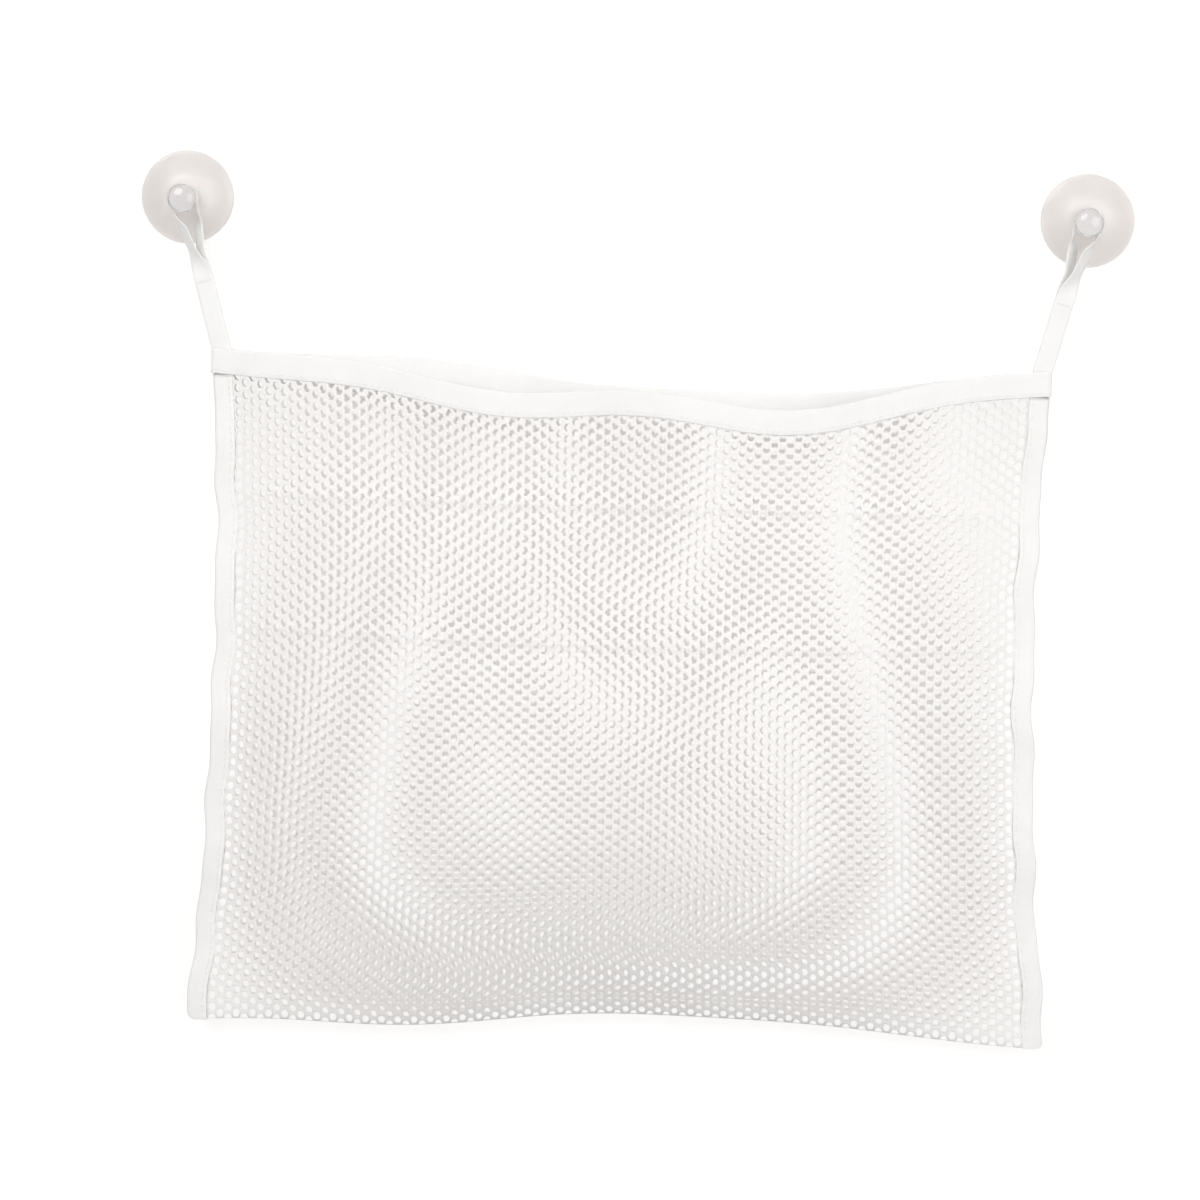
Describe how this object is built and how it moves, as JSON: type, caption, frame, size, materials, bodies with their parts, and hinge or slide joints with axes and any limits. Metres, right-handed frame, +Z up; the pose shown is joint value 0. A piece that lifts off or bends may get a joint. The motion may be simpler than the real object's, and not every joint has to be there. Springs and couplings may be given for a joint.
{
  "type": "bath toy organizer",
  "caption": "Open net bag bound with tape, hung on a bathroom wall by ribbon loops from clear suction cups, for storing and draining bath toys.",
  "frame": {"origin": "on the wall, midway between the axes of the two suction cups", "axes": "+Z up, +Y into the wall, +X to the right for someone facing the wall"},
  "size_m": [0.514, 0.0724, 0.456],
  "materials": {
    "net": "knitted polyester net, matt white",
    "tape": "woven polyester binding tape, matt white",
    "ribbon": "woven polyester ribbon, soft sheen",
    "clear_pvc": "soft clear PVC, moulded, slightly frosted"
  },
  "bodies": {
    "cups": {"suction_cup_left": "clear_pvc", "suction_cup_right": "clear_pvc"},
    "strap_left": {"strap_left": "ribbon"},
    "bag": {"net_front": "net", "net_back": "net", "side_binding_left": "tape", "side_binding_right": "tape", "top_binding_front": "tape", "top_binding_back": "tape"},
    "strap_right": {"strap_right": "ribbon"}
  },
  "joints": [
    {"name": "left_strap_swing", "type": "hinge", "parent": "cups", "child": "strap_left", "pos_m": [-0.233, -0.0153, 0], "axis": [0, 1, 0], "range_deg": [-10, 10]},
    {"name": "bag_sway", "type": "hinge", "parent": "strap_left", "child": "bag", "pos_m": [-0.211, -0.0153, -0.082], "axis": [0, 1, 0], "range_deg": [-11, 11]},
    {"name": "right_strap_swing", "type": "hinge", "parent": "bag", "child": "strap_right", "pos_m": [0.211, -0.0153, -0.082], "axis": [0, 1, 0], "range_deg": [-11, 11]}
  ],
  "couplings": [
    {"joint": "left_strap_swing", "follows": "bag_sway", "ratio": -0.90558},
    {"joint": "right_strap_swing", "follows": "bag_sway", "ratio": -1}
  ]
}
